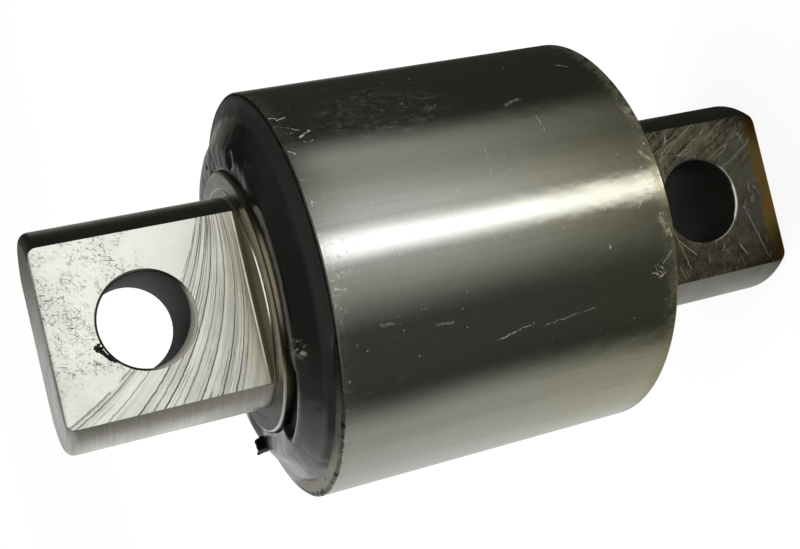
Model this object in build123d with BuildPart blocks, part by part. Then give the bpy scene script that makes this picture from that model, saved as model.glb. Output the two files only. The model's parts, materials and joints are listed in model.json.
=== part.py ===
"""Rubber metal bush: a steel sleeve, a bonded rubber body and a pin with two flatted, drilled ends.

The pin's axis is Z, and its flats face along Y. The origin is the centre of the bush, which is the
same at both ends.
"""

import os

from build123d import *

# Sleeve
sleeve_diameter = 87.0
sleeve_length = 74.0
sleeve_wall = 4.0
sleeve_outer_chamfer = 0.5
sleeve_bore_chamfer = 0.4

# Pin: a round bar with a thicker barrel at its middle
pin_length = 169.0
bar_diameter = 45.5
bar_end_round = 2.0
barrel_diameter = 56.0
barrel_length = 86.0
barrel_chamfer = 0.5

# Flats and bolt holes at both ends of the pin
flats_thickness = 28.5
flats_stop_step = 0.3
flats_root_radius = 0.8
hole_spacing = 130.0
hole_diameter = 19.0
hole_chamfer = 0.5

# Rubber end faces: a flat lip round the barrel, then a cone down to a shoulder at the sleeve
lip_recess = 0.9
lip_width = 5.0
lip_bevel = 0.4
lip_round = 2.5
shoulder_rise = 1.8
shoulder_inset = 1.1
shoulder_bevel = 0.8

# Derived sizes
sleeve_radius = sleeve_diameter / 2
bore_radius = sleeve_radius - sleeve_wall
mid_wall_radius = (sleeve_radius + bore_radius) / 2
bar_radius = bar_diameter / 2
bar_end = pin_length / 2
barrel_radius = barrel_diameter / 2
barrel_face = barrel_length / 2
flats_face = flats_thickness / 2
flats_stop = barrel_face + flats_stop_step
cutter_overrun = 2.0
lip_face = barrel_face - lip_recess
lip_radius = barrel_radius + lip_width
shoulder_face = sleeve_length / 2 + shoulder_rise
rubber_seat = sleeve_length / 2 - sleeve_bore_chamfer


with BuildPart() as outer_sleeve:
    with BuildSketch():
        Circle(sleeve_radius)
        Circle(bore_radius, mode=Mode.SUBTRACT)
    extrude(amount=sleeve_length / 2, both=True)
    rims = outer_sleeve.edges().filter_by(GeomType.CIRCLE)
    bore_rims, outer_rims = rims.group_by(lambda rim: rim.radius > mid_wall_radius)
    chamfer(outer_rims, sleeve_outer_chamfer)
    chamfer(bore_rims, sleeve_bore_chamfer)
outer_sleeve.part.label = "outer_sleeve"


with BuildPart() as rubber_body:
    with BuildSketch(Plane.XZ):
        with BuildLine():
            end_outline = Polyline(
                (barrel_radius, 0),
                (barrel_radius, lip_face - lip_bevel),
                (barrel_radius + lip_bevel, lip_face),
                (lip_radius, lip_face),
                (bore_radius - shoulder_inset, shoulder_face),
                (bore_radius - shoulder_inset + shoulder_bevel, shoulder_face - shoulder_bevel),
                (bore_radius, rubber_seat),
                (bore_radius, 0),
            )
            mirror(end_outline, about=Plane.XZ)
        make_face()
        lip_corners = vertices().filter_by(lambda corner: abs(corner.X - lip_radius) < 0.001)
        fillet(lip_corners, lip_round)
    revolve(axis=Axis.Z)
rubber_body.part.label = "rubber_body"


with BuildPart() as pin:
    # The turned bar with its barrel
    with BuildSketch(Plane.XZ):
        with BuildLine():
            turned_outline = Polyline(
                (0, bar_end),
                (bar_radius, bar_end),
                (bar_radius, barrel_face),
                (barrel_radius - barrel_chamfer, barrel_face),
                (barrel_radius, barrel_face - barrel_chamfer),
                (barrel_radius, 0),
            )
            mirror(turned_outline, about=Plane.XZ)
            Line((0, bar_end), (0, -bar_end))
        make_face()
        end_corners = vertices().filter_by(
            lambda corner: abs(corner.X - bar_radius) < 0.001 and abs(abs(corner.Y) - bar_end) < 0.001
        )
        fillet(end_corners, bar_end_round)
    revolve(axis=Axis.Z)

    # Two flats at each end, milled up to a rounded root just short of the barrel
    with BuildSketch(Plane.YZ):
        with BuildLine():
            far_side = bar_radius + cutter_overrun
            far_end = bar_end + cutter_overrun
            FilletPolyline(
                (far_side, flats_stop),
                (flats_face, flats_stop),
                (flats_face, far_end),
                radius=flats_root_radius,
            )
            Polyline((flats_face, far_end), (far_side, far_end), (far_side, flats_stop))
        make_face()
        mirror(about=Plane.YZ)
        mirror(about=Plane.XZ)
    extrude(amount=far_side, both=True, mode=Mode.SUBTRACT)

    # A bolt hole through each end
    with Locations(*(Location((0, 0, end * hole_spacing / 2), (90, 0, 0)) for end in (1, -1))):
        Hole(hole_diameter / 2)
    hole_rims = pin.edges().filter_by(GeomType.CIRCLE).filter_by(
        lambda rim: abs(rim.radius - hole_diameter / 2) < 0.001
    )
    chamfer(hole_rims, hole_chamfer)
pin.part.label = "pin"


os.makedirs("parts", exist_ok=True)
for piece in (outer_sleeve, rubber_body, pin):
    export_step(piece.part, f"parts/{piece.part.label}.step")
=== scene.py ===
"""Dresses the rubber metal bush: turned sleeve, moulded rubber, and a pin with milled, drilled ends.

The frame's sizes place every piece. Z runs along the pin, and the flats face along Y.
"""

import json
import math

import bmesh
import bpy
from bpy.props import FloatProperty, FloatVectorProperty, IntProperty, PointerProperty
from mathutils import Matrix, Vector, noise


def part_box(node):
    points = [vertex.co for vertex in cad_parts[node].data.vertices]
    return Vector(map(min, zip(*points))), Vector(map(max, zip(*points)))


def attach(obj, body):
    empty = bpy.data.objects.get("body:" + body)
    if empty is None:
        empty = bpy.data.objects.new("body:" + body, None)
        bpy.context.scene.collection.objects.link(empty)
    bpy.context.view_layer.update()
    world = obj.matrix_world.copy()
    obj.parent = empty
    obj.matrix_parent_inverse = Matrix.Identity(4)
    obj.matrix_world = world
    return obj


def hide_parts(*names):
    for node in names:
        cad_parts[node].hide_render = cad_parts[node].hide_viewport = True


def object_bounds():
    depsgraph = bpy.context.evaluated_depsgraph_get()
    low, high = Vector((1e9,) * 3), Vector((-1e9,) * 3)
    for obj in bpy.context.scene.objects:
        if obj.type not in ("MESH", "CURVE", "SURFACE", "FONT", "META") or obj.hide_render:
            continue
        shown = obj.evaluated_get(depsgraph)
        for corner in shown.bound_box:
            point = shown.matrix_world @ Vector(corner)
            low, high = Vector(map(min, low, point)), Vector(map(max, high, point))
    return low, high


bl_info = {
    "name": "Rubber metal bush",
    "version": (1, 0, 0),
    "blender": (4, 5, 0),
    "location": "View3D > Sidebar > Bush",
    "description": "Dresses a bonded rubber and steel bush with its turned, milled and moulded surfaces",
    "category": "Object",
}

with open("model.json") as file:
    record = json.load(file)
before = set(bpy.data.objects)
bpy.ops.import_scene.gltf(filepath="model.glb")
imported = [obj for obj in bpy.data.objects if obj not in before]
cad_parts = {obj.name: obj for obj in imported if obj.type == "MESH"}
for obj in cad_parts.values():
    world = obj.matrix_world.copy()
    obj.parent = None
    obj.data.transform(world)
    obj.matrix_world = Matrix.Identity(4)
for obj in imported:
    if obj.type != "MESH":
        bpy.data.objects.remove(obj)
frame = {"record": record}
cad_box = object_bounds()

MM = 0.001

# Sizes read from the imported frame, in metres
mounts = {mount["name"]: mount for mount in frame["record"]["mounts"]}
sleeve_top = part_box("outer_sleeve")[1]
rubber_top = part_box("rubber_body")[1]
pin_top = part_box("pin")[1]
sleeve_radius = mounts["sleeve_outside"]["dims"]["r_mm"] * MM
sleeve_end = sleeve_top.z
bore_radius = rubber_top.x
lip_face = rubber_top.z
barrel_radius = pin_top.x
bar_end = pin_top.z
hole_radius = mounts["upper_bolt_hole"]["dims"]["r_mm"] * MM
hole_place = mounts["upper_bolt_hole"]["pos_m"][2]
flat_face = mounts["upper_back_flat"]["pos_m"][1]
hole_chamfer = flat_face - mounts["upper_bolt_hole"]["dims"]["length_mm"] * MM / 2
rim_chamfer = sleeve_end - mounts["sleeve_outside"]["dims"]["length_mm"] * MM / 2

# Sizes of the turned and milled shoulders
bar_radius = 22.75 * MM
barrel_face = 43.0 * MM
shoulder_step = 0.3 * MM
shoulder_root = 0.8 * MM


# What the colour and the length settings have in common
COLOUR = {"subtype": "COLOR", "size": 3, "min": 0, "max": 1}
LENGTH = {"subtype": "DISTANCE", "unit": "LENGTH", "min": 0.0}


class BushSleeveSettings(bpy.types.PropertyGroup):
    """Sizes and colours of the turned sleeve."""

    steel: FloatVectorProperty(
        name="Steel", description="Colour of the clean turned steel",
        **COLOUR, default=(0.62, 0.616, 0.58),
    )
    film: FloatVectorProperty(
        name="Film", description="Colour of the steel under its thin yellow-green film",
        **COLOUR, default=(0.56, 0.555, 0.42),
    )
    stain: FloatVectorProperty(
        name="Stain", description="Colour of the olive stains near the rims",
        **COLOUR, default=(0.42, 0.39, 0.20),
    )
    grime: FloatVectorProperty(
        name="Grime", description="Colour of the bared, grimy stretch of the end ring",
        **COLOUR, default=(0.145, 0.14, 0.115),
    )
    bore_chamfer: FloatProperty(
        name="Bore chamfer", description="Width of the chamfer at the sleeve's bore",
        **LENGTH, default=0.4 * MM,
    )
    segments: IntProperty(name="Segments", description="Faces round the sleeve", default=256, min=32)


class BushRubberSettings(bpy.types.PropertyGroup):
    """Sizes and colours of the moulded rubber."""

    rubber: FloatVectorProperty(
        name="Rubber", description="Colour of the rubber",
        **COLOUR, default=(0.006, 0.006, 0.005),
    )
    bloom: FloatVectorProperty(
        name="Bloom", description="Colour of the rubber under its greyish bloom",
        **COLOUR, default=(0.017, 0.017, 0.015),
    )
    lip_width: FloatProperty(
        name="Lip width", description="Width of the flat lip round the pin",
        **LENGTH, default=5.0 * MM,
    )
    shoulder_rise: FloatProperty(
        name="Shoulder rise", description="Height of the outer shoulder above the sleeve's end",
        **LENGTH, default=1.8 * MM,
    )
    segments: IntProperty(name="Segments", description="Faces round the rubber", default=384, min=32)


class BushPinSettings(bpy.types.PropertyGroup):
    """Sizes and colours of the pin."""

    edge_round: FloatProperty(
        name="Edge round", description="Softening of the sharp edges",
        **LENGTH, default=0.14 * MM,
    )
    end_round: FloatProperty(
        name="End round", description="Rounding of the turned ends",
        **LENGTH, default=2.0 * MM,
    )
    steel: FloatVectorProperty(
        name="Steel", description="Colour of the bright milled steel",
        **COLOUR, default=(0.86, 0.86, 0.78),
    )
    skin: FloatVectorProperty(
        name="Skin", description="Colour of the darker turned sides",
        **COLOUR, default=(0.37, 0.36, 0.32),
    )
    # Colour of grime with painted shade in the corner where the flats stop
    grime: FloatVectorProperty(
        name="Grime", description="Colour of the oily grime where the flats stop",
        **COLOUR, default=(0.085, 0.075, 0.030),
    )
    segments: IntProperty(name="Segments", description="Faces round the pin", default=256, min=32)


class BushStageSettings(bpy.types.PropertyGroup):
    """Levels of the studio light."""

    ambient: FloatProperty(
        name="Ambient", description="Strength of the light from all round", default=0.7, min=0.0,
    )
    lamps: FloatProperty(
        name="Lamps", description="Power of each soft lamp", default=3.0, min=0.0, unit="POWER",
    )


class Wire:
    """A node socket on which arithmetic adds Math nodes."""

    def __init__(self, look, socket):
        self.look = look
        self.socket = socket

    def math(self, operation, *others):
        return self.look.node("ShaderNodeMath", {"operation": operation}, dict(enumerate((self, *others))))

    def __add__(self, other):
        return self.math("ADD", other)

    def __sub__(self, other):
        return self.math("SUBTRACT", other)

    def __mul__(self, other):
        return self.math("MULTIPLY", other)

    def __rsub__(self, other):
        return self.look.node("ShaderNodeMath", {"operation": "SUBTRACT"}, {0: other, 1: self})

    __radd__ = __add__
    __rmul__ = __mul__

    def __abs__(self):
        return self.math("ABSOLUTE")

    def capped(self, most=1.0):
        return self.math("MINIMUM", most)

    def output(self, name):
        """Another output of the node that made this value."""
        return Wire(self.look, self.socket.node.outputs[name])

    def ramp(self, low, high, start=0.0, end=1.0):
        """start below low, end above high, and a smooth change between them."""
        return self.look.node(
            "ShaderNodeMapRange", {"interpolation_type": "SMOOTHSTEP"},
            {"Value": self, "From Min": low, "From Max": high, "To Min": start, "To Max": end},
        )

    def fall(self, low, high):
        """1 below low, 0 above high, and a smooth change between them."""
        return self.ramp(low, high, 1.0, 0.0)


class Nodes:
    """A node tree that grows one expression at a time."""

    def __init__(self, tree):
        self.tree = tree
        tree.nodes.clear()

    def node(self, kind, settings=None, inputs=None, output=0):
        made = self.tree.nodes.new(kind)
        for name, value in (settings or {}).items():
            setattr(made, name, value)
        for name, value in (inputs or {}).items():
            if isinstance(value, Wire):
                self.tree.links.new(value.socket, made.inputs[name])
            else:
                made.inputs[name].default_value = value
        return Wire(self, made.outputs[output]) if made.outputs else None

    def mix(self, share, first, second):
        return self.node("ShaderNodeMixShader", inputs={0: share, 1: first, 2: second})

    def show(self, shader, output="ShaderNodeOutputMaterial"):
        self.node(output, inputs={"Surface": shader})


class Look(Nodes):
    """A material, with its patterns in millimetres on Object coordinates."""

    def __init__(self, name):
        self.material = bpy.data.materials.new(name)
        self.material.use_nodes = True
        super().__init__(self.material.node_tree)
        place = self.node("ShaderNodeTexCoord", output="Object")
        self.mm = self.node("ShaderNodeMapping", inputs={"Vector": place, "Scale": (1 / MM,) * 3})
        self.x, self.y, self.z = self.split(self.mm)
        self.out = abs(self.z)
        self.radius = (self.x * self.x + self.y * self.y).math("SQRT")
        self.bearing = self.y.math("ARCTAN2", self.x)

    def split(self, vector):
        parts = self.node("ShaderNodeSeparateXYZ", inputs={"Vector": vector})
        return [Wire(self, socket) for socket in parts.socket.node.outputs]

    def vector(self, x, y, z):
        return self.node("ShaderNodeCombineXYZ", inputs={"X": x, "Y": y, "Z": z})

    def stretch(self, x, y, z):
        return self.node("ShaderNodeMapping", inputs={"Vector": self.mm, "Scale": (x, y, z)})

    def cloud(self, vector=None, scale=1.0, detail=3.0, roughness=0.5):
        """Noise round 0.5 over a vector, or else over the place in millimetres."""
        inputs = {"Vector": vector or self.mm, "Scale": scale, "Detail": detail, "Roughness": roughness}
        return self.node("ShaderNodeTexNoise", inputs=inputs)

    def specks(self, spacing, size, share):
        """1 on scattered dots; share is how many of the possible places have one."""
        near = self.node(
            "ShaderNodeTexVoronoi", inputs={"Vector": self.mm, "Scale": 1 / spacing}, output="Distance",
        )
        picked = near.output("Color").ramp(0.99 - share, 1.01 - share)
        return near.fall(0.5 * size / spacing, size / spacing) * picked

    def stroke(self, across, along, start, end, width):
        """1 on a straight scratch between two places, each given as (across, along)."""
        run = Vector(end) - Vector(start)
        run_across, run_along = run.normalized()
        ahead = (across - start[0]) * run_across + (along - start[1]) * run_along
        aside = abs((along - start[1]) * run_across - (across - start[0]) * run_along)
        ends = ahead.ramp(-width, width) * ahead.fall(run.length - width, run.length + width)
        return aside.fall(width / 2, width) * ends

    def strokes(self, across, along, rows):
        """1 on straight scratches, given as rows of start, end, width and strength."""
        total = 0.0
        for start, end, width, strength in rows:
            total = self.stroke(across, along, start, end, width) * strength + total
        return total

    def blend(self, share, first, second):
        return self.node(
            "ShaderNodeMix", {"data_type": "RGBA"},
            {"Factor": share, 6: self.colour(first), 7: self.colour(second)}, output=2,
        )

    def darken(self, level, tone):
        """The colour times a level."""
        grey = self.vector(level, level, level)
        return self.node("ShaderNodeVectorMath", {"operation": "MULTIPLY"}, {0: tone, 1: grey})

    def patch(self, place, centre, radius):
        """1 near a centre and 0 beyond the radius, in two of the coordinates."""
        aside = [value - middle for value, middle in zip(place, centre)]
        distance = (aside[0] * aside[0] + aside[1] * aside[1]).math("SQRT")
        return distance.fall(0.5 * radius, radius)

    def scratches(self, turn, seed):
        """Scattered short scratches in the plane of the flats, turned from the pin's axis by an angle."""
        along = self.z * math.cos(turn) + self.x * math.sin(turn)
        aside = self.x * math.cos(turn) - self.z * math.sin(turn)
        return self.cloud(self.vector(aside * 4.0, along * 0.22, seed), detail=1.0).ramp(0.69, 0.73)

    def colour(self, value):
        return value if isinstance(value, Wire) else (*value, 1.0)

    def bump(self, *layers):
        """Relief from heights that run from 0 to 1, each given with what it stands for in millimetres."""
        made = None
        for height, depth in layers:
            below = {"Normal": made} if made else {}
            made = self.node("ShaderNodeBump", inputs={"Height": height, "Distance": depth * MM, **below})
        return made

    def shader(self, **inputs):
        names = {name.replace("_", " "): value for name, value in inputs.items()}
        names["Base Color"] = self.colour(names["Base Color"])
        return self.node("ShaderNodeBsdfPrincipled", inputs=names)

    def paint(self, shader):
        """The material, showing the shader."""
        self.show(shader)
        return self.material


# Where the cutter's marks on the upper flats start, as x and distance out in mm, how much they bend in
# radians per mm, and the direction in radians of the outermost mark
FAN_X = 29.3
FAN_OUT = 48.3
FAN_BEND = 0.0088
FAN_EDGE = 0.137

# The deepest of those marks: direction in radians, width in radians, and strength
DEEP_MARKS = (
    (0.120, 0.004, 0.7), (0.060, 0.003, 0.6), (-0.015, 0.005, 0.9),
    (-0.055, 0.003, 0.7), (-0.090, 0.006, 1.0), (-0.150, 0.003, 0.7),
    (-0.215, 0.004, 0.8), (-0.295, 0.005, 0.9), (-0.355, 0.004, 0.8),
)

# Light scratches on the sleeve: both ends as (way round, height) in mm, width, and strength
SLEEVE_SCRATCHES = (
    ((-88.5, 4.7), (-86.9, -3.3), 0.22, 0.6), ((-87.9, -5.7), (-86.6, -17.2), 0.12, 0.45),
    ((-80.1, 28.3), (-80.5, 25.6), 0.4, 0.25), ((-82.5, 17.3), (-82.9, 13.7), 0.3, 0.3),
    ((-34.2, 35.4), (-33.2, 33.2), 0.25, 0.8), ((-40.2, 32.8), (-38.6, 30.2), 0.3, 1.0),
    ((-44.7, -15.5), (-49.2, -15.6), 0.15, 0.5), ((-50.7, -1.6), (-56.7, -0.7), 0.15, 0.35),
    ((-40.9, -10.5), (-39.6, -14.6), 0.5, 0.3), ((-78.7, -35.6), (-81.0, -33.2), 0.12, 0.9),
    ((-80.7, -31.9), (-82.3, -33.6), 0.14, 1.0), ((-81.1, -31.4), (-83.2, -31.9), 0.12, 0.9),
    ((-82.4, -30.6), (-83.5, -32.8), 0.14, 1.0), ((-83.9, -32.0), (-82.6, -34.1), 0.14, 1.0),
    ((-81.7, -32.3), (-83.5, -33.3), 0.12, 0.9), ((-82.1, -31.5), (-82.9, -33.7), 0.12, 0.8),
    ((-74.9, -21.3), (-75.3, -22.0), 0.25, 1.0), ((-69.0, -29.7), (-67.9, -30.5), 0.15, 1.0),
    ((-32.8, 36.5), (-33.4, 35.1), 0.15, 0.9), ((-41.6, 32.6), (-41.5, 30.6), 0.15, 0.8),
    ((-36.7, 34.7), (-38.4, 32.1), 0.12, 0.7), ((-43.2, 36.2), (-44.3, 34.8), 0.15, 0.8),
    ((-29.9, -28.2), (-31.7, -30.3), 0.15, 0.8),
)

# Cream-coloured stains on the sleeve's lower rim, given as the scratches are
RIM_STAINS = (
    ((-46.5, -35.0), (-49.0, -35.8), 1.6, 0.6), ((-57.5, -33.4), (-59.8, -35.4), 0.5, 0.9),
    ((-64.5, -35.2), (-67.0, -36.0), 0.6, 0.8), ((-71.0, -33.8), (-76.0, -35.6), 0.7, 0.8),
)

# Light scratches on the lower flats: both ends as (x, distance out) in mm, width, and strength
FLAT_SCRATCHES = (
    ((16.9, 72.2), (10.9, 61.4), 0.2, 0.8), ((15.6, 82.4), (9.3, 72.5), 0.2, 0.8),
    ((16.8, 60.0), (11.0, 56.9), 0.25, 1.0), ((11.0, 56.9), (6.3, 56.8), 0.2, 0.8),
    ((-3.3, 76.1), (-16.7, 80.0), 0.12, 0.8), ((-5.8, 56.2), (-15.2, 58.2), 0.15, 0.8),
    ((-8.4, 57.0), (-12.0, 60.5), 0.15, 0.9), ((-11.8, 72.6), (-14.4, 74.0), 0.2, 1.0),
    ((-11.0, 68.4), (-12.6, 67.6), 0.2, 0.9), ((-1.0, 81.4), (1.4, 79.6), 0.15, 0.9),
    ((14.2, 79.0), (10.2, 80.6), 0.15, 0.8),
)

# The rubber's outer shoulder and its foot on the sleeve: distance out from the bore in mm, and height in mm
# above the shoulder's rim or above the sleeve's end
SHOULDER = ((-0.6, -0.1), (-0.1, -0.45), (0.4, -0.8), (0.9, -1.1))
FOOT = ((1.5, 0.45), (2.1, 0.3), (2.7, 0.18), (3.2, 0.06), (3.3, -0.03), (0.3, -0.1), (0.0, -0.4))

# The lumps of swarf: turn round the hole's rim in degrees, height above the rim and size in mm
SWARF = (
    (104.0, 0.3, 0.20), (105.5, 0.8, 0.28), (107.0, 1.3, 0.34), (108.5, 1.6, 0.32), (109.5, 1.0, 0.42),
    (111.0, 1.5, 0.36), (113.0, 1.2, 0.34), (115.0, 1.15, 0.30), (117.0, 1.05, 0.28), (119.0, 1.0, 0.28),
    (121.0, 0.9, 0.32), (123.5, 0.85, 0.32), (126.0, 0.75, 0.28), (128.5, 0.6, 0.22), (130.5, 0.45, 0.26),
)

# The flash tab: its bearing and lean outwards in degrees, its distance from the axis, how deep its foot
# sits in the lip, and its half width, half height and thickness
FLASH_BEARING = 157.0
FLASH_LEAN = 4.0
FLASH_RADIUS = 33.4 * MM
FLASH_SINK = 1.2 * MM
FLASH_WIDTH = 2.2 * MM
FLASH_HEIGHT = 1.45 * MM
FLASH_THICKNESS = 0.45 * MM

# The studio cards that the steel reflects: bearing, width and soft edge in degrees, lowest place and its
# soft edge and highest place and its soft edge in mm, and strength
CARDS = (
    (-79.0, 1.0, 8.5, -66.0, 8.0, 14.0, 4.0, 1.7),
    (-82.0, 8.0, 32.0, -42.0, 32.0, 14.0, 4.0, 0.42),
    (-51.5, 25.0, 18.0, -42.0, 32.0, 10.0, 8.0, 0.33),
    (-122.0, 20.0, 30.0, -300.0, 8.0, 14.0, 8.0, 0.025),
    (-80.0, 50.0, 14.0, 17.0, 3.0, 100.0, 8.0, 1.05),
    (-85.0, 60.0, 30.0, -300.0, 8.0, -70.0, 6.0, 0.19),
    (110.0, 80.0, 35.0, -300.0, 8.0, 78.0, 8.0, 0.57),
    (184.0, 8.0, 26.0, -300.0, 8.0, 72.0, 8.0, 0.37),
    (122.0, 40.0, 18.0, 38.0, 8.0, 88.0, 20.0, 0.55),
    (128.0, 70.0, 22.0, 82.0, 10.0, 190.0, 30.0, 0.75),
    (0.0, 360.0, 10.0, 230.0, 30.0, 500.0, 8.0, 0.10),
)

# The profile of the ring that carries the cards, as (radius, height) in mm
TENT = (
    (0, -84.45), (26, -84.3), (60, -62), (105, -20), (140, 50), (150, 300), (60, 380), (0, 380),
)

# The camera: its place and the point that it looks at in mm, and its roll in degrees
CAMERA_PLACE = (-14.16, -248.86, 101.59)
CAMERA_AIM = (-7.41, 0.0, 10.68)
CAMERA_ROLL = -102.774


def lathe(outline, segments):
    """A bmesh turned round Z from a closed outline of (radius, height) points."""
    mesh = bmesh.new()
    corners = [mesh.verts.new((radius, 0, height)) for radius, height in outline]
    edges = [mesh.edges.new((a, b)) for a, b in zip(corners, corners[1:] + corners[:1])]
    bmesh.ops.spin(
        mesh, geom=corners + edges, cent=(0, 0, 0), axis=(0, 0, 1), angle=math.tau,
        steps=segments, use_merge=True,
    )
    bmesh.ops.remove_doubles(mesh, verts=mesh.verts, dist=0.001 * MM)
    bmesh.ops.dissolve_degenerate(mesh, edges=mesh.edges, dist=0.001 * MM)
    bmesh.ops.recalc_face_normals(mesh, faces=mesh.faces)
    return mesh


def arc(centre, radius, start, end, steps):
    """Points of an arc of (radius, height) points, with its angles in degrees."""
    turns = [math.radians(start + (end - start) * step / steps) for step in range(steps + 1)]
    return [(centre[0] + radius * math.cos(turn), centre[1] + radius * math.sin(turn)) for turn in turns]


def add_object(name, mesh, material=None):
    """Makes the bmesh an object of the scene."""
    data = bpy.data.meshes.new(name)
    mesh.to_mesh(data)
    mesh.free()
    if material:
        data.materials.append(material)
    made = bpy.data.objects.new(name, data)
    bpy.context.scene.collection.objects.link(made)
    return made


def add_piece(name, mesh, material, smooth_below=30.0, level=False):
    """Makes the bmesh an object of the bush, with its edges sharp above an angle.

    level keeps faces that lie square to an axis level up to their rounded edges.
    """
    for face in mesh.faces:
        face.smooth = not (level and max(abs(part) for part in face.normal) > 0.99999)
    for edge in mesh.edges:
        edge.smooth = edge.calc_face_angle(0.0) < math.radians(smooth_below)
    piece = add_object(name, mesh, material)
    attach(piece, "root")
    return piece


def turned_steel(settings):
    """Bright turned steel with a thin yellow-green film, wiping marks and stains near the rims."""
    look = Look("turned sleeve steel")
    z = look.z
    around = look.bearing * (sleeve_radius / MM)
    end = sleeve_end / MM

    lines = look.cloud(look.stretch(0.02, 0.02, 7.0), detail=4.0, roughness=0.7)
    wiping = look.cloud(look.stretch(1.1, 1.1, 0.03), detail=4.0, roughness=0.65)
    patches = look.cloud(look.stretch(0.03, 0.03, 0.04), detail=4.0, roughness=0.6)
    stained = z.fall(-end, 0.7 * end) * patches.ramp(0.3, 0.7, 0.7, 1.0)
    blotches = look.cloud(scale=0.28, detail=6.0, roughness=0.7)
    to_rim = (end - look.out + (blotches - 0.5) * 9.0).fall(0.5, 4.0)
    rim_stain = to_rim * blotches.ramp(0.40, 0.52) * z.ramp(0.0, -end, 0.2, 1.0)
    cream = look.strokes(around, z + (blotches - 0.5) * 4.0, RIM_STAINS) * blotches.ramp(0.42, 0.54)
    tone = look.blend(stained, settings.steel, settings.film)
    tone = look.blend(rim_stain * 0.85, tone, settings.stain)
    tone = look.blend(cream.capped(), tone, (0.72, 0.64, 0.42))
    tone = look.darken((lines - 0.5) * 0.2 + (wiping - 0.5) * 0.24 + 0.98, tone)

    marked = sleeve_marks(look, around)
    scuffed = look.blend(z.ramp(-34.0, -26.0), (0.62, 0.56, 0.34), (0.75, 0.74, 0.68))
    dents = look.cloud(look.stretch(0.10, 0.10, 0.07), detail=3.0) * z.ramp(-end, 0.3 * end, 1.0, 0.12)
    steel = look.shader(
        Base_Color=look.blend(marked * 0.8, tone, scuffed),
        Metallic=1.0 - marked * 0.6 - rim_stain * 0.2 - cream * 0.4,
        Roughness=lines.ramp(0.3, 0.7, 0.10, 0.17) + rim_stain * 0.15 + marked * 0.45,
        Normal=look.bump((dents, 0.30), (lines, 0.004), (marked, 0.03)),
    )
    on_end, ring = end_ring(look, settings)
    return look.paint(look.mix(on_end, steel, ring))


def sleeve_marks(look, around):
    """Specks, scuffs and scratches, which scatter light where the steel reflects something dark."""
    gathered = look.cloud(scale=0.07, detail=2.0).ramp(0.40, 0.60)
    dots = look.specks(4.5, 0.45, 0.3) + look.specks(2.6, 0.28, 0.3) + look.specks(1.5, 0.17, 0.3)
    near_rim = (sleeve_end / MM - look.out).fall(0.0, 7.0)
    scuffs = look.cloud(look.stretch(0.7, 0.7, 0.5), detail=6.0, roughness=0.8)
    frayed = look.cloud(scale=2.6, detail=3.0).ramp(0.35, 0.6)
    nicks = dots * gathered + scuffs.ramp(0.57, 0.68) * near_rim * 0.55 + scuffs.ramp(0.64, 0.72) * 0.35
    smudged = look.patch((around, look.z * 0.6), (-36.5, 9.0), 11.0) * scuffs.ramp(0.46, 0.66) * 0.12
    bend = look.cloud(scale=0.6, detail=3.0) - 0.5
    broken = look.cloud(scale=1.1, detail=4.0, roughness=0.7).ramp(0.38, 0.54)
    drawn = look.strokes(around + bend, look.z - bend, SLEEVE_SCRATCHES) * broken
    return (nicks * frayed + smudged + drawn).capped()


def end_ring(look, settings):
    """Where the sleeve's end rings are, and their shader: blackened by rubber, with a grimy stretch below."""
    x, radius, end = look.x, look.radius, sleeve_end / MM
    ragged = look.cloud(scale=0.55, detail=6.0, roughness=0.75)
    bared = x.fall(-28.0, -18.0) * ragged.ramp(0.30, 0.45)
    tone = look.blend(bared, (0.014, 0.014, 0.012), [0.65 * part for part in settings.grime])
    tone = look.blend(x.fall(-38.0, -29.0), tone, [1.9 * part for part in settings.grime])
    pits = look.specks(3.0, 0.9, 0.4) + look.specks(2.0, 0.9, 0.4) * radius.ramp(41.2, 42.0)
    rim = radius.ramp(42.2, 42.8) * ragged.ramp(0.35, 0.5)
    shader = look.shader(
        Base_Color=look.darken(1.0 - (pits * 0.9 + rim * 0.6).capped(0.95), tone),
        Roughness=0.55, Specular_IOR_Level=0.12, Normal=look.bump((ragged, 0.1)),
    )
    edge = look.out + (ragged - 0.25) * x.ramp(-30.0, -18.0, 1.0, 0.05)
    return edge.ramp(end - 0.34, end - 0.14), shader


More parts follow.
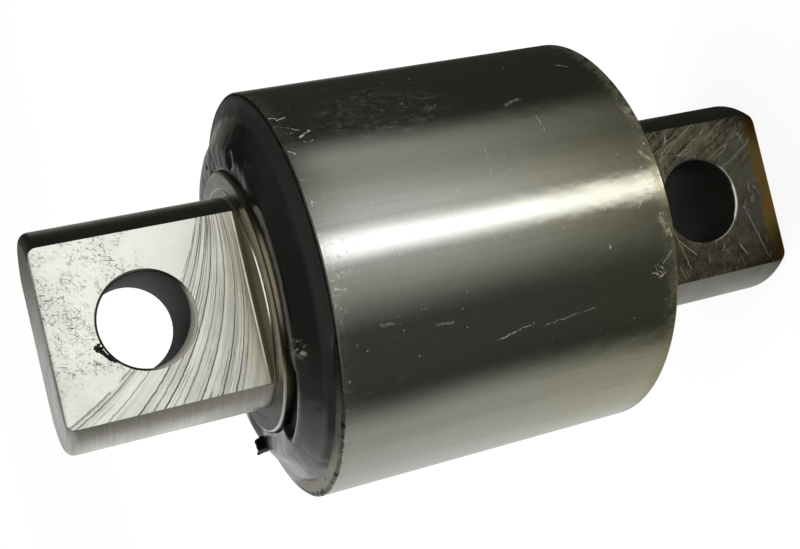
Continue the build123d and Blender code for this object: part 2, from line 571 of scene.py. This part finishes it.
def moulded_rubber(settings):
    """Near-black rubber, semi-gloss on its skin, dull where torn, and dull and darker as painted shade where
    sunk and on the lip.
    """
    look = Look("moulded rubber")
    x, place, radius = look.x, (look.x, look.y), look.radius
    grain = look.cloud(scale=0.5, detail=6.0, roughness=0.6)
    smear = look.cloud(look.stretch(0.06, 0.06, 0.06), detail=3.0)
    crumbs = look.cloud(look.stretch(1.8, 1.1, 1.8), detail=5.0, roughness=0.7).ramp(0.50, 0.58)
    torn = look.patch(place, (-12.2, -32.0), 2.2) * crumbs * 0.8 + look.patch(place, (-13.4, -32.6), 0.7)
    upper_end = look.z.ramp(30.0, 31.0)
    aside = abs(look.bearing + math.radians(140.0))
    # Painted shade: the sunk crescent by the barrel and a patch on the lip take a dull, darker rubber
    sunk = aside.fall(math.radians(18.0), math.radians(24.0)) * radius.fall(31.2, 32.0)
    shaded = look.patch(place, (-26.5, 15.5), 7.5) * radius.fall(32.5, 33.5)
    shaded = shaded * look.z.fall(42.5, 42.9)
    shoulder = radius.ramp(38.2, 39.6)
    tone = look.blend(smear.ramp(0.4, 0.65), settings.rubber, settings.bloom)
    tone = look.blend(shoulder, tone, [1.3 * part for part in settings.bloom])
    tone = look.blend(torn, tone, (0.30, 0.29, 0.22))
    tone = look.blend(look.specks(2.4, 0.22, 0.12) * 0.5, tone, (0.25, 0.24, 0.22))
    relief = look.bump((smear, 0.5), (grain, 0.02), (torn, 0.4))
    rough = grain.ramp(0.3, 0.7, 0.17, 0.26) + torn * 0.3 + shoulder * x.ramp(-30.0, -20.0, 0.05, 0.2)
    skin = look.shader(Base_Color=tone, Roughness=rough, Normal=relief)
    # The dull, darker rubber of the painted shade
    painted_shade_rubber = look.shader(
        Base_Color=(0.006, 0.006, 0.005), Roughness=0.6, Specular_IOR_Level=0.15, Normal=relief,
    )
    return look.paint(look.mix(((sunk + shaded * 0.85) * upper_end).capped(), skin, painted_shade_rubber))


def pin_steel(settings):
    """Milled flats, bright above and dull below, with turned sides and collars, painted shade in the bolt
    holes, where the flats stop and low on the collar, and painted highlights on the collar and a countersink.
    """
    look = Look("pin steel")
    x, y, out = look.x, look.y, look.out
    face = barrel_face / MM
    upper = look.z.ramp(-1.0, 1.0)
    flat = abs(y).ramp(flat_face / MM - 0.12, flat_face / MM - 0.03) * out.ramp(face + 0.6, face + 1.0)
    on_upper = upper * flat
    on_collar = out.fall(face + 0.1, face + 0.25)
    in_hole = within_hole(look, 0.05, 0.2)
    ends = out.ramp(bar_end / MM - 1.2, bar_end / MM - 0.2)

    rough = look.cloud(look.stretch(0.12, 0.12, 0.12), detail=3.0)
    broad, marks, in_fan = fan_marks(look)
    end_line = out.ramp(bar_end / MM - 0.55, bar_end / MM - 0.3)
    dark = (marks + skin_marks(look, (1.0 - in_fan) * rough.ramp(0.35, 0.55)) + end_line * 0.8).capped()
    dull, slanted = dull_flats(look)
    milled = look.blend(upper, dull, bright_flats(look, settings, dark))

    turned = look.cloud(look.stretch(0.05, 0.05, 3.0), detail=4.0)
    sides = turned_sides(look, settings, turned, ends, on_collar)
    # Painted shade: the bolt holes' walls take a near-black colour
    sides = look.blend(in_hole, sides, look.blend(upper, (0.034, 0.031, 0.021), (0.040, 0.039, 0.038)))
    # Painted highlights: pale, less metallic steel on the lower front countersink's edge and on the collar's
    # outer edge towards -X
    painted_edge_highlight = look.radius.ramp(barrel_radius / MM - 0.55, barrel_radius / MM - 0.4)
    painted_edge_highlight = painted_edge_highlight * out.ramp(face - 0.5, face - 0.4) * on_collar * x.ramp(-18.0, -11.0, 0.8, 0.0)
    painted_highlights = (painted_countersink_highlight(look) + painted_edge_highlight * 0.6).capped()
    sides = look.blend(painted_highlights, sides, (0.95, 0.94, 0.90))

    relief = look.bump(
        (broad * in_fan * on_upper, 0.02), (dark * on_upper, 0.02), (slanted * (flat - on_upper), 0.03),
        (turned, 0.008),
    )
    steel = look.shader(
        Base_Color=look.blend(flat, sides, milled), Metallic=1.0 - painted_highlights * 0.85, Normal=relief,
        Roughness=rough.ramp(0.3, 0.7, 0.24, 0.34) + ends * 0.12 + in_hole * 0.25 + dark * flat * 0.1,
    )
    grime_and_shade_mask, grime_and_shade_shader = grime_and_painted_shade(look, settings, on_collar)
    bore_shade_mask, bore_shade_shader = bore_painted_shade(look, in_hole, upper)
    return look.paint(look.mix(bore_shade_mask, look.mix(grime_and_shade_mask, steel, grime_and_shade_shader), bore_shade_shader))


def fan_marks(look):
    """The cutter's marks on the upper flats, which run out from one point and bend on their way.

    Gives the broad waves, the marks, and the part of the flats that they cover.
    """
    across, along = FAN_X - look.x, look.out - FAN_OUT
    reach = (across * across + along * along).math("SQRT")
    waver = look.cloud(scale=0.7, detail=3.0) - 0.5
    turn = along.math("ARCTAN2", across) - reach * FAN_BEND + waver * 0.012
    broad = look.cloud(look.vector(turn * 30.0, reach * 0.012, 0.0), detail=3.0)
    fine = look.cloud(look.vector(turn * 120.0, reach * 0.025, 3.0), detail=2.0)
    hair = look.cloud(look.vector(turn * 300.0, reach * 0.04, 7.0), detail=1.0)
    in_fan = turn.fall(FAN_EDGE - 0.015, FAN_EDGE)
    fading = look.cloud(scale=0.16, detail=2.0).ramp(0.36, 0.62, 0.25, 1.0)
    sharp = (fine.ramp(0.60, 0.66) * 0.7 + hair.ramp(0.64, 0.70) * 0.45) * fading
    for direction, width, strength in DEEP_MARKS:
        sharp = abs(turn - direction).ramp(0.3 * width, width, strength, 0.0) + sharp
    grooves = sharp * turn.ramp(-0.45, -0.36) + broad.ramp(0.42, 0.62) * 0.22 + fine.ramp(0.35, 0.6) * 0.1
    first = abs(turn - FAN_EDGE).fall(0.002, 0.006)
    first = first * look.cloud(scale=0.3).ramp(0.3, 0.45)
    return broad, grooves * in_fan + first * 0.7, in_fan


def skin_marks(look, beside_fan):
    """Pits, hairlines and cuts on the upper flats, beside the cutter's marks."""
    x, out = look.x, look.out
    pitted = beside_fan * out.ramp(60.0, 66.0) * x.ramp(-13.0, -5.0, 0.15, 1.0)
    pits = look.cloud(scale=1.6, detail=4.0, roughness=0.6).ramp(0.60, 0.66)
    warp = look.cloud(scale=0.5, detail=3.0)
    bent = look.vector(x * 0.34 + warp * 1.2, out * 0.34 + warp, 0.0)
    cells = look.node(
        "ShaderNodeTexVoronoi", {"feature": "DISTANCE_TO_EDGE"}, {"Vector": bent, "Scale": 2.4},
        output="Distance",
    )
    hairlines = cells.fall(0.008, 0.028) * warp.ramp(0.47, 0.55)
    cuts = look.scratches(0.9, 34.0) + look.scratches(0.2, 26.0)
    return (pits * 0.6 + hairlines * 0.75 + cuts * 0.64) * pitted


def bright_flats(look, settings, dark):
    """The colour of the upper flats: bright, a little darker inwards, and straw-coloured at the shoulder."""
    inner = [0.84 * part for part in settings.steel]
    tone = look.blend(look.out.fall(48.0, 74.0), settings.steel, inner)
    tone = look.blend(look.out.ramp(44.2, 50.0, 0.7, 0.0), tone, (0.80, 0.77, 0.56))
    return look.blend(dark * 0.85, tone, (0.10, 0.095, 0.07))


def dull_flats(look):
    """The colour of the lower flats, with rust along the end, and their slanting marks."""
    x, out = look.x, look.out
    sway = look.cloud(scale=0.25, detail=2.0) - 0.5
    slant = (out - x * 1.7 + sway * 3.5) * 0.65
    slanting = look.cloud(look.vector(slant, x * 0.10, 0.0), detail=4.0, roughness=0.65)
    above_hole = x.ramp(4.0, 9.0)
    slanted = slanting.ramp(0.52, 0.62) * above_hole
    ticks = look.scratches(1.3, 20.0) + look.scratches(1.75, 30.0)
    blotchy = look.cloud(scale=0.45, detail=5.0, roughness=0.7)
    tone = look.blend(blotchy.ramp(0.35, 0.65), (0.40, 0.37, 0.27), (0.19, 0.18, 0.13))
    tone = look.darken(x.ramp(-14.0, 12.0, 0.62, 1.0), tone)
    even = look.patch((x, out), (7.5, 77.5), 6.5)
    tone = look.blend(even * 0.8, tone, (0.22, 0.22, 0.17))
    purple = look.patch((x, out), (-5.0, 78.5), 9.0) * blotchy.fall(0.40, 0.56)
    tone = look.blend(purple * 0.8, tone, (0.15, 0.12, 0.16))
    tone = look.blend(slanting.fall(0.36, 0.46) * above_hole * 0.8, tone, (0.09, 0.085, 0.06))
    bend = look.cloud(scale=0.5, detail=3.0) - 0.5
    drawn = look.strokes(x + bend * 2.2, out - bend * 1.6, FLAT_SCRATCHES) * blotchy.ramp(0.38, 0.5)
    light = slanted * 0.55 + ticks * (1.0 - even) + drawn
    tone = look.blend(light.capped(), tone, (0.95, 0.90, 0.74))
    rust = (out + (blotchy - 0.5) * 7.0).ramp(80.6, 81.8)
    rusty = look.blend(blotchy.ramp(0.4, 0.6), (0.40, 0.18, 0.04), (0.32, 0.25, 0.08))
    return look.blend(rust * 0.9, tone, rusty), slanted


def turned_sides(look, settings, turned, ends, on_collar):
    """The colour of the pin's turned sides, its end faces and its collars."""
    x = look.x
    tone = look.blend(turned.ramp(0.3, 0.7), settings.skin, [0.82 * part for part in settings.skin])
    tone = look.darken(look.z.ramp(-45.0, -40.0, 0.78, 1.0), tone)
    tone = look.blend(ends, tone, (0.66, 0.65, 0.63))
    rings = look.cloud(look.vector(look.radius * 0.6, 0.0, 0.0), detail=2.0)
    collar = look.blend(rings.ramp(0.4, 0.6), (0.20, 0.18, 0.12), (0.32, 0.29, 0.20))
    # Painted light and shade: the collar is lighter towards +X and near-black towards -X
    collar = look.blend(x.ramp(16.0, 22.0), collar, (0.60, 0.60, 0.57))
    collar = look.blend(x.fall(-24.0, -17.0), collar, (0.035, 0.035, 0.028))
    tone = look.blend(on_collar, tone, collar)
    tone = look.blend(look.specks(2.2, 0.35, 0.12) * ends * 0.6, tone, (0.07, 0.065, 0.06))

    # Painted highlight: a bright arc on the collar round the bar, away from -X
    painted_arc_highlight = abs(look.radius - bar_radius / MM).fall(0.12, 0.3) * x.ramp(-14.0, -4.0)
    painted_arc_highlight = painted_arc_highlight * look.out.fall(barrel_face / MM + 0.2, barrel_face / MM + 0.5)
    return look.blend(painted_arc_highlight, tone, (0.90, 0.88, 0.80))


def grime_and_painted_shade(look, settings, on_collar):
    """Where the pin is darkened, and its shader: grime with painted shade in the corner where the flats stop,
    and painted shade low on the collar.
    """
    face, radius = barrel_face / MM, look.radius
    # Grime with painted shade in the corner where the flats stop
    wall = look.out.fall(face + 0.5, face + 0.9)
    wall = wall * radius.fall(bar_radius / MM - 0.2, bar_radius / MM - 0.05) * 0.92
    # Painted shade low on the collar, towards -X
    low = on_collar * look.x.fall(-22.0, -16.0)
    low = low * radius.fall(barrel_radius / MM - 0.6, barrel_radius / MM - 0.4) * 0.85
    tone = look.blend(low, settings.grime, (0.022, 0.022, 0.018))
    return wall.math("MAXIMUM", low), look.shader(Base_Color=tone, Roughness=0.5, Specular_IOR_Level=0.3)


def bore_painted_shade(look, in_hole, upper):
    """Where the bolt holes are darkened as painted shade, and their shader, which painted light turns grey by
    the upper hole's front rim.
    """
    x, y = look.x, look.y
    beyond = (hole_place / MM - look.z) * 0.8 - x * 0.5
    shallow = (y + x * 0.7 + flat_face / MM).fall(3.0, 5.5)
    # Painted light: a grey patch on the wall by the upper hole's front rim
    lit = beyond.ramp(2.0, 6.5) * shallow * upper
    tone = look.blend(lit, (0.020, 0.019, 0.015), (0.46, 0.44, 0.38))
    shader = look.shader(Base_Color=tone, Roughness=0.6, Specular_IOR_Level=0.05)
    # Painted shade in the holes, heavier further in from the front face
    dark = in_hole * y.ramp(-14.0, 4.0, 0.75, 0.9)
    return dark.math("MAXIMUM", lit * within_hole(look, 0.4, 0.5)), shader


def to_hole_axis(look, from_hole):
    """How far a place is from a bolt hole's axis, given how far along the pin it is from it."""
    return (look.x * look.x + from_hole * from_hole).math("SQRT")


def within_hole(look, near, far):
    """1 up to near mm beyond the bolt holes' walls and 0 beyond far."""
    wall = hole_radius / MM
    return to_hole_axis(look, look.out - hole_place / MM).fall(wall + near, wall + far)


def painted_countersink_highlight(look):
    """1 on the lower front countersink's outer edge, where a highlight is painted."""
    from_hole = look.z + hole_place / MM
    to_axis = to_hole_axis(look, from_hole)
    wall = hole_radius / MM
    broad = look.patch((look.x, look.z), (-2.0, -75.2), 5.0)
    edge = (to_axis + broad * 0.4).ramp(wall + 0.32, wall + 0.38) * to_axis.ramp(wall + 0.04, wall + 0.08)
    edge = edge * to_axis.fall(wall + 0.6, wall + 0.75)
    outer = (from_hole + look.x * 0.35).fall(-6.0, -3.0)
    return edge * outer * look.y.fall(-12.5, -12.2)


def burnt_swarf():
    """Burnt, oily swarf."""
    look = Look("swarf")
    grain = look.cloud(scale=2.0, detail=4.0)
    return look.paint(look.shader(
        Base_Color=look.blend(grain.ramp(0.5, 0.7), (0.008, 0.008, 0.007), (0.09, 0.08, 0.06)),
        Roughness=0.5, Normal=look.bump((grain, 0.1)), Specular_IOR_Level=0.3,
    ))


class BUSH_OT_sleeve(bpy.types.Operator):
    """Turn the steel sleeve."""

    bl_idname = "bush.sleeve"
    bl_label = "Sleeve"

    def execute(self, context):
        settings = context.scene.bush_sleeve
        inner = settings.bore_chamfer
        upper = [
            (bore_radius, 0),
            (bore_radius, sleeve_end - inner),
            (bore_radius + inner, sleeve_end),
            (sleeve_radius - rim_chamfer, sleeve_end),
            (sleeve_radius, sleeve_end - rim_chamfer),
            (sleeve_radius, sleeve_end - 4 * rim_chamfer),
            (sleeve_radius, 0),
        ]
        outline = upper + [(radius, -height) for radius, height in reversed(upper[1:-1])]
        mesh = lathe(outline, settings.segments)
        piece = add_piece("turned_sleeve", mesh, turned_steel(settings), 20)
        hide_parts("outer_sleeve")
        return {"FINISHED"}


def rubber_wear(place):
    """How far the rubber's end stands above or below its moulded shape at a place, in metres."""
    radius = math.hypot(place.x, place.y) / MM
    bearing = math.degrees(math.atan2(place.y, place.x))
    spot = (place.x / MM, place.y / MM)
    lift = 0.10 * noise.noise(place * 90.0) + 0.05 * noise.noise(place * 400.0)
    if place.z < 0.0:
        return lift * MM

    # Low on the upper end the film of rubber has come off the sleeve's end ring
    bared = smooth(abs((bearing + 330.0) % 360.0 - 180.0), 34.0, 46.0)
    ragged = 0.3 * noise.noise(place * 350.0) + 0.15 * noise.noise(place * 1100.0)
    lift -= (1.1 + ragged) * bared * smooth(-radius, -40.2, -39.0)

    # A crescent where the lip has sunk away from the barrel, a torn place, a dimple, three cuts and a ridge
    crescent = smooth(abs(bearing + 140.0), 18.0, 24.0)
    outer = 28.0 + 3.6 * crescent
    lift -= 1.3 * crescent * smooth(radius, outer - 0.4, outer + 0.4)
    torn = smooth(math.dist(spot, (-12.4, -32.2)), 1.0, 2.6)
    lift += torn * (0.25 + 0.7 * noise.noise(place * 1400.0))
    lift -= 0.5 * smooth(math.dist(spot, (27.9, -15.2)), 0.5, 2.6)
    for cut in ((26.6, -14.2), (23.4, -25.8), (30.6, 4.8)):
        lift -= 0.45 * smooth(math.dist(spot, cut), 0.2 * 0.6, 0.6)
    lift += 0.5 * smooth(math.dist(spot, (24.6, -24.6)), 0.2, 0.9)
    return lift * MM


def smooth(value, near, far):
    """1 up to near, 0 beyond far, and a smooth change between them."""
    share = min(max((far - value) / (far - near), 0.0), 1.0)
    return share * share * (3.0 - 2.0 * share)


class BUSH_OT_rubber(bpy.types.Operator):
    """Mould the rubber body with its lip, cone and shoulder, and wear its ends."""

    bl_idname = "bush.rubber"
    bl_label = "Rubber"

    def execute(self, context):
        settings = context.scene.bush_rubber
        crest = barrel_radius + settings.lip_width
        rim = sleeve_end + settings.shoulder_rise
        lip = [(barrel_radius + (0.9 + 0.3 * step) * MM, lip_face) for step in range(10)]
        cone_start = (crest + 1 * MM, lip_face - 0.4 * MM)
        cone_end = (bore_radius - 1.3 * MM, rim + 0.1 * MM)
        cone = [tuple(a + (b - a) * step / 14 for a, b in zip(cone_start, cone_end)) for step in range(15)]
        upper = [
            (barrel_radius, 0),
            (barrel_radius, lip_face - 1.5 * MM),
            (barrel_radius + 0.1 * MM, lip_face - 0.5 * MM),
            (barrel_radius + 0.35 * MM, lip_face - 0.12 * MM),
            *lip,
            (crest - 0.3 * MM, lip_face - 0.03 * MM),
            (crest + 0.4 * MM, lip_face - 0.17 * MM),
            *cone,
            *((bore_radius + out * MM, rim + up * MM) for out, up in SHOULDER),
            *((bore_radius + out * MM, sleeve_end + up * MM) for out, up in FOOT),
            (bore_radius, 0),
        ]
        outline = upper + [(radius, -height) for radius, height in reversed(upper[1:-1])]
        mesh = lathe(outline, settings.segments)
        for corner in mesh.verts:
            radius = math.hypot(corner.co.x, corner.co.y)
            if abs(corner.co.z) > sleeve_end and radius > barrel_radius:
                corner.co.z += math.copysign(1.0, corner.co.z) * rubber_wear(corner.co)
        piece = add_piece("moulded_rubber", mesh, moulded_rubber(settings), 80)
        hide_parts("rubber_body")
        return {"FINISHED"}


class BUSH_OT_pin(bpy.types.Operator):
    """Turn the pin, mill its flats and drill its bolt holes."""

    bl_idname = "bush.pin"
    bl_label = "Pin"

    def execute(self, context):
        settings = context.scene.bush_pin
        end_round = settings.end_round
        upper = [(0, bar_end)]
        upper += reversed(arc((bar_radius - end_round, bar_end - end_round), end_round, 0, 90, 8))
        upper += [
            (bar_radius, barrel_face),
            (bar_radius + 1.5 * MM, barrel_face),
            (bar_radius + 1.7 * MM, barrel_face - 0.1 * MM),
            (bar_radius + 1.9 * MM, barrel_face),
            (barrel_radius - 0.5 * MM, barrel_face),
            (barrel_radius - 0.15 * MM, barrel_face - 0.15 * MM),
            (barrel_radius, barrel_face - 0.6 * MM),
        ]
        outline = upper + [(radius, -height) for radius, height in reversed(upper)]
        mesh = subtract(lathe(outline, settings.segments), flat_cutters())

        # The drill and its countersinks at each bolt hole
        over = 2 * MM
        drill = [
            (0, flat_face + over),
            (hole_radius + hole_chamfer + over, flat_face + over),
            (hole_radius, flat_face - hole_chamfer),
        ]
        drill += [(radius, -height) for radius, height in reversed(drill)]
        for place in (hole_place, -hole_place):
            bit = lathe(drill, 128)
            lie_along_y = Matrix.Rotation(math.pi / 2, 4, "X")
            bmesh.ops.transform(bit, verts=bit.verts, matrix=Matrix.Translation((0, 0, place)) @ lie_along_y)
            mesh = subtract(mesh, bit)
        sharp = [edge for edge in mesh.edges if edge.calc_face_angle(0.0) > math.radians(35)]
        bmesh.ops.bevel(
            mesh, geom=sharp, offset=settings.edge_round, segments=2, profile=0.5, affect="EDGES",
            material=-1, clamp_overlap=True,
        )
        piece = add_piece("milled_pin", mesh, pin_steel(settings), level=True)
        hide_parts("pin")
        return {"FINISHED"}


def flat_cutters():
    """The milling cutter's path at each of the four flats, with its rounded root."""
    cutters = bmesh.new()
    reach = 30 * MM
    low = barrel_face + shoulder_step
    block = bmesh.ops.create_cube(cutters, size=1.0)["verts"]
    bmesh.ops.scale(cutters, verts=block, vec=(2 * reach, reach, 2 * reach))
    bmesh.ops.translate(cutters, verts=block, vec=(0, flat_face + reach / 2, low + reach))
    root = [edge for edge in cutters.edges if all(
        abs(end.co.y - flat_face) < 0.01 * MM and abs(end.co.z - low) < 0.01 * MM for end in edge.verts
    )]
    bmesh.ops.bevel(
        cutters, geom=root, offset=shoulder_root, segments=5, profile=0.5, affect="EDGES", material=-1,
    )
    for axis in ("Y", "Z"):
        bmesh.ops.mirror(cutters, geom=cutters.verts[:] + cutters.edges[:] + cutters.faces[:], axis=axis)
    bmesh.ops.recalc_face_normals(cutters, faces=cutters.faces)
    return cutters


def subtract(body, tool):
    """The body with the tool cut away, as a new bmesh."""
    objects = [add_object("body", body), add_object("tool", tool)]
    cut = objects[0].modifiers.new("cut", "BOOLEAN")
    cut.operation = "DIFFERENCE"
    cut.solver = "EXACT"
    cut.object = objects[1]
    left = bpy.data.meshes.new_from_object(objects[0].evaluated_get(bpy.context.evaluated_depsgraph_get()))
    for item in objects:
        bpy.data.objects.remove(item)
    result = bmesh.new()
    result.from_mesh(left)
    bmesh.ops.remove_doubles(result, verts=result.verts, dist=0.001 * MM)
    return result


class BUSH_OT_swarf(bpy.types.Operator):
    """Leave a clump of burnt swarf on the rim of the upper bolt hole."""

    bl_idname = "bush.swarf"
    bl_label = "Swarf"

    def execute(self, context):
        mesh = bmesh.new()
        for turn, lift, size in SWARF:
            angle = math.radians(turn)
            rim = hole_radius + lift * MM
            across, up = rim * math.cos(angle), rim * math.sin(angle)
            place = Vector((across, -flat_face - 0.05 * MM, hole_place + up))
            made = bmesh.ops.create_icosphere(mesh, subdivisions=3, radius=size * MM)["verts"]
            for corner in made:
                rough = noise.noise(corner.co * 1800.0 + place * 500.0)
                rough += 0.6 * noise.noise(corner.co * 5000.0)
                corner.co *= 1.0 + 0.9 * rough
            bmesh.ops.scale(mesh, verts=made, vec=(1.0, 0.6, 1.3))
            bmesh.ops.translate(mesh, verts=made, vec=place)
        add_piece("swarf", mesh, burnt_swarf(), 80)
        return {"FINISHED"}


class BUSH_OT_flash(bpy.types.Operator):
    """Leave a torn tab of moulding flash standing on the rubber's lip."""

    bl_idname = "bush.flash"
    bl_label = "Flash"

    def execute(self, context):
        mesh = bmesh.new()
        bmesh.ops.create_grid(mesh, x_segments=14, y_segments=14, size=1.0)
        for corner in mesh.verts:
            across, up = corner.co.x, corner.co.y
            ragged = 0.25 * noise.noise(Vector((across * 2.0, up * 2.0, 4.0)))
            folds = 0.5 * up * up + 0.35 * math.sin(4.0 * across + up)
            foot = -0.5 * MM * (across + 1.0) * (1.0 - up)
            corner.co = Vector((
                across * FLASH_WIDTH * (1.0 - 0.12 * up) + 0.2 * MM * up,
                folds * MM,
                (up + ragged) * FLASH_HEIGHT + foot,
            ))
        bmesh.ops.solidify(mesh, geom=mesh.faces[:], thickness=FLASH_THICKNESS)
        bmesh.ops.recalc_face_normals(mesh, faces=mesh.faces)
        bmesh.ops.translate(mesh, verts=mesh.verts, vec=(0, 0, FLASH_HEIGHT))
        angle = math.radians(FLASH_BEARING)
        foot = (FLASH_RADIUS * math.cos(angle), FLASH_RADIUS * math.sin(angle), lip_face - FLASH_SINK)
        lean_out = Matrix.Rotation(angle, 4, "Z") @ Matrix.Rotation(math.radians(FLASH_LEAN), 4, "Y")
        bmesh.ops.transform(mesh, verts=mesh.verts, matrix=Matrix.Translation(foot) @ lean_out)
        add_piece("flash_tab", mesh, moulded_rubber(context.scene.bush_rubber), 80)
        return {"FINISHED"}


class BUSH_OT_stage(bpy.types.Operator):
    """Set out the floor, the reflecting tent, the lamps and the camera."""

    bl_idname = "bush.stage"
    bl_label = "Stage"

    def execute(self, context):
        settings = context.scene.bush_stage
        add_floor()
        add_tent()
        add_lamps(settings)
        light_world(settings)
        add_camera()
        context.scene.view_settings.view_transform = "Standard"
        return {"FINISHED"}


def add_floor():
    """A plain pale floor, which shows white to the camera and in reflections."""
    mesh = bmesh.new()
    bmesh.ops.create_grid(mesh, x_segments=1, y_segments=1, size=6.0)
    bmesh.ops.translate(mesh, verts=mesh.verts, vec=(0, 0, cad_box[0][2]))
    look = Look("pale floor")
    plain = look.node("ShaderNodeBsdfDiffuse", inputs={"Color": (0.8, 0.8, 0.8, 1.0)})
    shadowed = look.node("ShaderNodeBsdfDiffuse", inputs={"Color": (0.25, 0.25, 0.25, 1.0)})
    glow = look.node("ShaderNodeEmission", inputs={"Color": (1.0, 1.0, 1.0, 1.0), "Strength": 0.85})
    white = look.node("ShaderNodeAddShader", inputs={0: shadowed, 1: glow})
    add_object("floor", mesh, look.paint(look.mix(background_rays(look), plain, white)))


def background_rays(nodes):
    """1 for rays that show the background: from the camera, or off gloss and through glass."""
    kinds = nodes.node("ShaderNodeLightPath", output="Is Camera Ray")
    seen = kinds.math("MAXIMUM", kinds.output("Is Glossy Ray"))
    return seen.math("MAXIMUM", kinds.output("Is Transmission Ray"))


def add_tent():
    """A ring of cards round the bush that only reflections show."""
    mesh = bmesh.new()
    corners = [mesh.verts.new((radius * MM, 0, height * MM)) for radius, height in TENT]
    edges = [mesh.edges.new(pair) for pair in zip(corners, corners[1:])]
    bmesh.ops.spin(
        mesh, geom=corners + edges, cent=(0, 0, 0), axis=(0, 0, 1), angle=math.tau, steps=96, use_merge=True,
    )
    look = Look("studio cards")

    # The tent narrows towards the floor, so the cards' edges lean to keep their bearing as seen in the sleeve
    lean = (look.z + 2.0).math("MINIMUM", 0.0) * (look.bearing + math.radians(93.0)).math("SINE") * 0.24
    bearing = look.bearing * math.degrees(1) - lean
    level = 0.03
    for centre, width, edge, low, low_edge, high, high_edge, strength in CARDS:
        away = abs((bearing - centre + 540.0).math("FLOORED_MODULO", 360.0) - 180.0)
        across = away.ramp(width / 2, width / 2 + edge, strength, 0.0)
        above = look.z.ramp(low - low_edge, low + low_edge)
        below = look.z.fall(high - high_edge, high + high_edge)
        level = across * above * below + level
    tint = look.blend(level.ramp(0.2, 0.8), (1.0, 0.995, 0.90), (1.0, 1.0, 1.0))
    tint = look.blend(level.ramp(1.4, 2.0), tint, (0.96, 0.97, 1.03))
    glow = look.node("ShaderNodeEmission", inputs={"Color": tint, "Strength": level})
    tent = add_object("cards", mesh, look.paint(glow))
    for rays in ("camera", "diffuse", "shadow", "transmission"):
        setattr(tent, "visible_" + rays, False)


def add_lamps(settings):
    """Two soft lamps, which reflections don't show."""
    for name, place, size in (("key", (0.5, -0.9, 0.7), 0.5), ("fill", (-0.7, 0.6, 0.6), 0.7)):
        lamp = bpy.data.lights.new(name, "AREA")
        lamp.energy = settings.lamps
        lamp.size = size
        stand = bpy.data.objects.new(name, lamp)
        stand.location = place
        stand.rotation_euler = Vector(place).to_track_quat("Z", "Y").to_euler()
        stand.visible_glossy = False
        bpy.context.scene.collection.objects.link(stand)


def light_world(settings):
    """Even light from all round, with a white background."""
    world = bpy.data.worlds.new("studio")
    world.use_nodes = True
    nodes = Nodes(world.node_tree)
    ambient = nodes.node(
        "ShaderNodeBackground", inputs={"Color": (0.8, 0.8, 0.8, 1.0), "Strength": settings.ambient},
    )
    white = nodes.node("ShaderNodeBackground", inputs={"Color": (1.0, 1.0, 1.0, 1.0)})
    nodes.show(nodes.mix(background_rays(nodes), ambient, white), "ShaderNodeOutputWorld")
    bpy.context.scene.world = world


def add_camera():
    """The camera that stands and leans as the photo's did."""
    camera = bpy.data.cameras.new("camera")
    camera.lens = 54.09
    camera.sensor_width = 36.0
    camera.shift_x = 0.0149
    camera.shift_y = 0.0393
    camera.clip_start = 0.01
    stand = bpy.data.objects.new("camera", camera)
    place, aim = Vector(CAMERA_PLACE) * MM, Vector(CAMERA_AIM) * MM
    level = (aim - place).to_track_quat("-Z", "Y").to_matrix()
    roll = Matrix.Rotation(math.radians(CAMERA_ROLL), 3, "Z")
    stand.matrix_world = Matrix.Translation(place) @ (level @ roll).to_4x4()
    bpy.context.scene.collection.objects.link(stand)
    bpy.context.scene.camera = stand


class BUSH_PT_panel(bpy.types.Panel):
    """Lists the pieces and settings of the bush in the sidebar."""

    bl_label = "Rubber metal bush"
    bl_idname = "BUSH_PT_panel"
    bl_space_type = "VIEW_3D"
    bl_region_type = "UI"
    bl_category = "Bush"

    def draw(self, context):
        layout = self.layout
        for operator in STEPS:
            layout.operator(operator.bl_idname)
        for name in SETTINGS:
            group = getattr(context.scene, name)
            box = layout.box()
            for part in group.bl_rna.properties.keys():
                if part not in ("rna_type", "name"):
                    box.prop(group, part)


STEPS = (BUSH_OT_sleeve, BUSH_OT_rubber, BUSH_OT_pin, BUSH_OT_swarf, BUSH_OT_flash, BUSH_OT_stage)
SETTINGS = {
    "bush_sleeve": BushSleeveSettings,
    "bush_rubber": BushRubberSettings,
    "bush_pin": BushPinSettings,
    "bush_stage": BushStageSettings,
}


def register():
    for name, settings in SETTINGS.items():
        bpy.utils.register_class(settings)
        setattr(bpy.types.Scene, name, PointerProperty(type=settings))
    for operator in STEPS:
        bpy.utils.register_class(operator)
    bpy.utils.register_class(BUSH_PT_panel)


def unregister():
    bpy.utils.unregister_class(BUSH_PT_panel)
    for operator in reversed(STEPS):
        bpy.utils.unregister_class(operator)
    for name, settings in SETTINGS.items():
        delattr(bpy.types.Scene, name)
        bpy.utils.unregister_class(settings)


def main():
    register()
    bpy.ops.bush.sleeve()
    bpy.ops.bush.rubber()
    bpy.ops.bush.pin()
    bpy.ops.bush.swarf()
    bpy.ops.bush.flash()
    bpy.ops.bush.stage()


if __name__ == "__main__":
    main()
